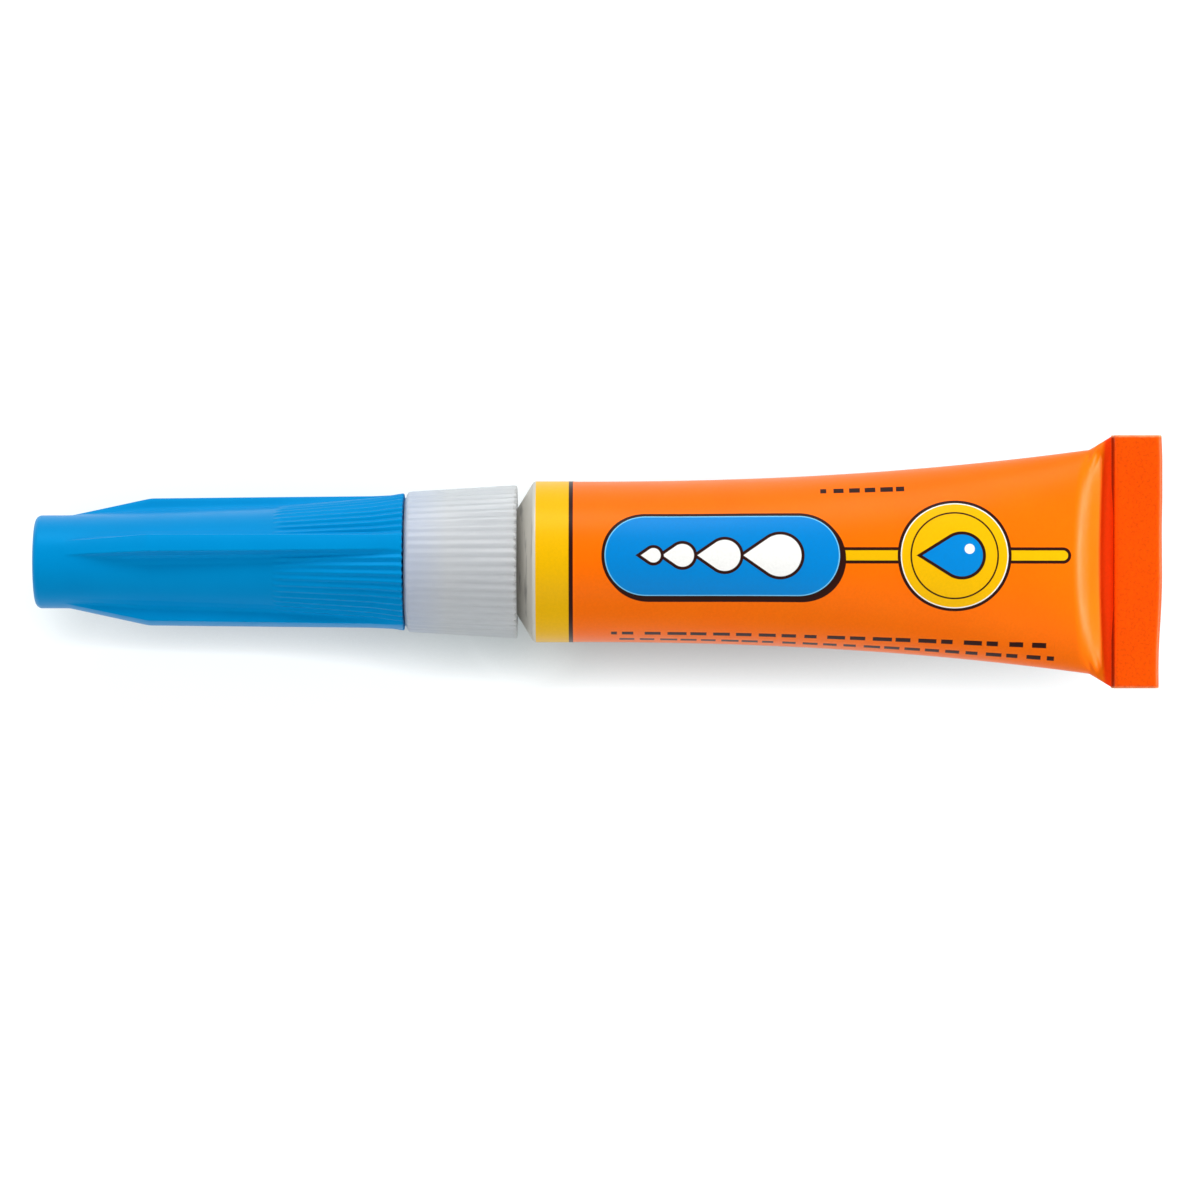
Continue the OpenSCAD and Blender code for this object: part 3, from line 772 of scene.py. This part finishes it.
def nozzle():
    sides = COLLAR_RIBS * 10
    angle = around(sides)
    wave = ribs(angle, COLLAR_RIBS)
    tip_round, channel_chamfer, core_chamfer = 0.15, 0.12, 0.2
    spout = [(SPOUT_X, CHANNEL_R + channel_chamfer)]
    spout += [(SPOUT_X + tip_round * (1 - np.cos(t)), SPOUT_TIP_R - tip_round * (1 - np.sin(t)))
              for t in np.linspace(0, np.pi / 2, 5)]
    spout += [(x, np.interp(x, (SPOUT_X, THREAD_X), (SPOUT_TIP_R, SPOUT_ROOT_R)))
              for x in np.linspace(SPOUT_X + 1, THREAD_X, 24)]
    core_r = THREAD_R - THREAD_DEPTH
    spout += [(THREAD_X, core_r - core_chamfer), (THREAD_X + core_chamfer, core_r)]
    chain = turned(spout, angle)
    start, end = THREAD_X + 0.25, COLLAR_FRONT_X - 0.6
    chain += [ring(x, thread(x, angle, start, end, THREAD_LEAD, THREAD_R, THREAD_DEPTH), angle)
              for x in np.linspace(start, COLLAR_FRONT_X, 90)]
    # Low ring on the collar's front face that the cap's mouth comes close to
    seat_in_r, seat_top_in_r, seat_top_out_r, seat_out_r = 4.6, 4.68, 5.35, 5.4
    seat_x = COLLAR_FRONT_X - 0.12
    chain += turned([(COLLAR_FRONT_X, seat_in_r), (seat_x, seat_top_in_r),
                     (seat_x, seat_top_out_r), (COLLAR_FRONT_X, seat_out_r)], angle)

    front_round, back_round, notch, rib_growth = 0.35, 0.3, 0.22, 1.5
    xs = np.concatenate([COLLAR_FRONT_X + front_round * (1 - np.cos(np.linspace(0, np.pi / 2, 8))),
                         np.linspace(COLLAR_FRONT_X + 0.6, COLLAR_BACK_X - 0.6, 30),
                         COLLAR_BACK_X - back_round * (1 - np.sin(np.linspace(0, np.pi / 2, 9)))])
    for x in xs:
        share = (x - COLLAR_FRONT_X) / (COLLAR_BACK_X - COLLAR_FRONT_X)
        crest = COLLAR_FRONT_R + (COLLAR_BACK_R - COLLAR_FRONT_R) * share
        height = COLLAR_RIB_FRONT_H + (COLLAR_RIB_H - COLLAR_RIB_FRONT_H) * share ** rib_growth
        at_front = np.clip(1 - (x - COLLAR_FRONT_X) / front_round, 0, 1)
        at_back = np.clip(1 - (COLLAR_BACK_X - x) / back_round, 0, 1)
        crest -= front_round * (1 - np.sqrt(1 - at_front ** 2))
        crest -= back_round * (1 - np.sqrt(1 - at_back ** 2)) / 2
        cut = notch * (1 - wave) * at_back
        chain.append(ring(x - cut, crest - height * (1 - wave), angle))
    chain += turned([(COLLAR_BACK_X, MOUTH_R), (MOUTH_X, SOCKET_R), (SOCKET_X, SOCKET_R),
                     (SOCKET_X, SPIKE_R), (SPIKE_X, SPIKE_TIP_R), (SPIKE_X, CHANNEL_R),
                     (SPOUT_X + channel_chamfer, CHANNEL_R)], angle)
    return skin("nozzle_body", chain, white_plastic, loop=True)


# Cap

def cap_angles():
    """Angles of a ring: close together on the flanks of the fins, and even on the ribs between them."""
    flank_start, flank_end, middle = 4.0, 18.0, 180 / FINS
    half = np.concatenate([np.linspace(0, flank_start, 6, endpoint=False),
                           np.linspace(flank_start, flank_end, 40, endpoint=False),
                           np.linspace(flank_end, middle, 50, endpoint=False)])
    fin = np.unique(np.concatenate([half, -half, [-middle]]))
    return FIN_TURN + np.radians(np.concatenate([fin + 2 * middle * k for k in range(FINS)]))


def cap_radius(x, angle):
    """Outside of the cap at one station: a round core that flares into a ribbed grip, and the fins on it."""
    stations = (FIN_X, GRIP_X, FLARE_X, CAP_MOUTH_X)
    core = eased_line(x, stations, (CAP_TIP_R, CAP_CORE_R, GRIP_WAIST_R - GRIP_H, CAP_MOUTH_R - GRIP_H), 0.3)
    rib_h = np.interp(x, (GRIP_X, GRIP_X + GRIP_FADE_L, FLARE_X), (0.0, GRIP_START_H, GRIP_H))
    body = core + rib_h * ribs(angle - FIN_TURN, GRIP_RIBS)
    crest = eased_line(x, (FIN_X, FIN_X + FIN_SLOPE_L, FLARE_X, CAP_MOUTH_X),
                       (CAP_TIP_R, FIN_R, FIN_WAIST_R, CAP_MOUTH_R), 0.5)
    pitch = TAU / FINS
    aside = np.abs((angle - FIN_TURN + pitch / 2) % pitch - pitch / 2)
    beside = (core * np.sin(aside) - FIN_W / 2) / FIN_FOOT
    flank = eased_line(beside, (0.0, 0.2, 0.45, 1.0), (1.0, 0.3, 0.1, 0.0), 0.09)
    return body + np.maximum(crest - body, 0) * flank


def cap():
    angle = cap_angles()
    face = [(CAP_END_X, r) for r in (0.4, 1.5, 2.6)]
    face += [(CAP_END_X + CAP_ROUND * (1 - np.cos(t)), CAP_TIP_R - CAP_ROUND * (1 - np.sin(t)))
             for t in np.linspace(0, np.pi / 2, 9)]
    chain = turned(face, angle)
    lip, notch_l, bore_chamfer, cone_gap, groove = 0.12, 0.16, 0.3, 0.2, 0.25
    xs = np.concatenate([np.linspace(FIN_X - 1.0, FIN_X + FIN_SLOPE_L + 1.0, 34),
                         np.linspace(FIN_X + FIN_SLOPE_L + 1.5, GRIP_X - 0.01, 6),
                         np.linspace(GRIP_X + 0.04, CAP_MOUTH_X - lip, 30)])
    chain += [ring(x, cap_radius(x, angle), angle) for x in xs]
    notch = notch_l * (1 - ribs(angle - FIN_TURN, GRIP_RIBS))
    chain += [ring(CAP_MOUTH_X - lip * (1 - np.sin(t)) - notch * np.sin(t) ** 2,
                   cap_radius(CAP_MOUTH_X - lip, angle) - lip * (1 - np.cos(t)), angle)
              for t in np.linspace(0.3, np.pi / 2, 4)]
    cavity_x = CAP_END_X + CROWN_T
    cone_x = THREAD_X - cone_gap
    start, end = cone_x + 0.5, CAP_MOUTH_X - 0.5
    chain += turned([(CAP_MOUTH_X, BORE_R + bore_chamfer), (CAP_MOUTH_X - bore_chamfer, BORE_R)], angle)
    chain += [ring(x, BORE_R + groove - thread(x, angle, start, end, THREAD_LEAD, groove, groove), angle)
              for x in np.linspace(end, start, 30)]
    chain += turned([(cone_x, BORE_R), (cavity_x, CAVITY_TIP_R), (cavity_x, PIN_SEAT_R),
                     (cavity_x - PIN_SEAT_L, PIN_SEAT_R)], angle)
    return skin("screw_cap", chain, blue_plastic)


# Assembly

for piece, body, node, slot in (
        (tube_head(), "tube", "tube", "bare_aluminium"),
        (tube_sleeve(), "tube", "tube", "tube"),
        (tail_fold(), "tube", "tube", "tube"),
        (nozzle(), "nozzle", "nozzle", "nozzle"),
        (cap(), "cap", "cap", "cap")):
    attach(piece, body)
    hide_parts(node)

for node, material in (("neck_membrane", aluminium), ("tail_seal", latex()),
                       ("adhesive", liquid()), ("cap_pin", steel())):
    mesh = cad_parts[node].data
    mesh.materials.clear()
    mesh.materials.append(material)


# Stage

def floor():
    """White floor that keeps the shadow. Its glow, for the camera, reflections and clear liquid, stands
    for the light of a white room on the key light's side, so it fades where the part keeps that light off.
    """
    half = 0.6
    mesh = bpy.data.meshes.new("floor")
    corners = [(-half, -half, 0), (half, -half, 0), (half, half, 0), (-half, half, 0)]
    mesh.from_pydata(corners, [], [(0, 1, 2, 3)])
    paint = Paint("floor_paper", Roughness=0.9, Specular_IOR_Level=0.0)
    paper, blotch = (0.33, 0.39, 0.405, 1), (0.35, 0.41, 0.425, 1)
    paint.set("Base Color", paint.mix(paint.noise(30.0), paper, blotch))
    paint.set("Emission Color", (1, 1, 1, 1))
    rays = paint.add("ShaderNodeLightPath").outputs
    seen = paint.math("MAXIMUM", rays["Is Glossy Ray"], rays["Is Transmission Ray"])
    seen = paint.math("MAXIMUM", rays["Is Camera Ray"], seen)
    towards_key = paint.add("ShaderNodeCombineXYZ", Y=0.9, Z=0.44).outputs[0]
    reach, depth, level = 6 * MM, 1.3, 0.78
    open_share = paint.add("ShaderNodeAmbientOcclusion", Distance=reach, Normal=towards_key).outputs["AO"]
    glow = paint.math("MULTIPLY", paint.math("POWER", open_share, depth), level)
    paint.set("Emission Strength", paint.math("MULTIPLY", seen, glow))
    mesh.materials.append(paint.material)
    obj = bpy.data.objects.new("floor", mesh)
    obj.location.z = -0.02 * MM
    bpy.context.scene.collection.objects.link(obj)


def soft_light(name, place, size, watts, mirrored=True):
    """Area light that faces the middle of the part and may be left out of reflections."""
    light = bpy.data.lights.new(name, "AREA")
    light.shape = "RECTANGLE"
    light.size, light.size_y = size
    light.energy = watts
    obj = bpy.data.objects.new(name, light)
    obj.location = place
    obj.rotation_euler = (-Vector(place)).to_track_quat("-Z", "Y").to_euler()
    obj.visible_glossy = mirrored
    bpy.context.scene.collection.objects.link(obj)


def camera():
    """Straight down from above, as far away as the photograph's view asks for."""
    view_w, distance, sensor = 100.6, 478.6, 36.0
    data = bpy.data.cameras.new("camera")
    data.sensor_width = sensor
    data.lens = sensor * distance / view_w
    obj = bpy.data.objects.new("camera", data)
    obj.location = Vector((0.08, -3.2, AXIS_Z + distance)) * MM
    bpy.context.scene.collection.objects.link(obj)
    bpy.context.scene.camera = obj


def studio():
    """Dim white room, plain white to the camera, in reflections and through clear liquid."""
    world = bpy.data.worlds.new("studio")
    world.use_nodes = True
    nodes, links = world.node_tree.nodes, world.node_tree.links
    rays = nodes.new("ShaderNodeLightPath").outputs
    strength = nodes.new("ShaderNodeValue").outputs[0]
    strength.default_value = 0.22
    for ray in ("Is Camera Ray", "Is Glossy Ray", "Is Transmission Ray"):
        brighter = nodes.new("ShaderNodeMath")
        brighter.operation = "MAXIMUM"
        links.new(rays[ray], brighter.inputs[0])
        links.new(strength, brighter.inputs[1])
        strength = brighter.outputs[0]
    background = nodes["Background"].inputs
    background["Color"].default_value = (1, 1, 1, 1)
    links.new(strength, background["Strength"])
    bpy.context.scene.world = world


floor()
studio()
soft_light("key", (-0.05, 0.46, 0.25), (0.6, 0.25), 2.7)
soft_light("tail", (0.2, 0.01, 0.03), (0.12, 0.04), 0.38)
soft_light("front", (-0.45, 0.05, 0.3), (0.4, 0.3), 0.45)
soft_light("fill", (0.0, -0.32, 0.34), (0.6, 0.3), 1.28, mirrored=False)
camera()

bpy.context.scene.view_settings.view_transform = "Standard"
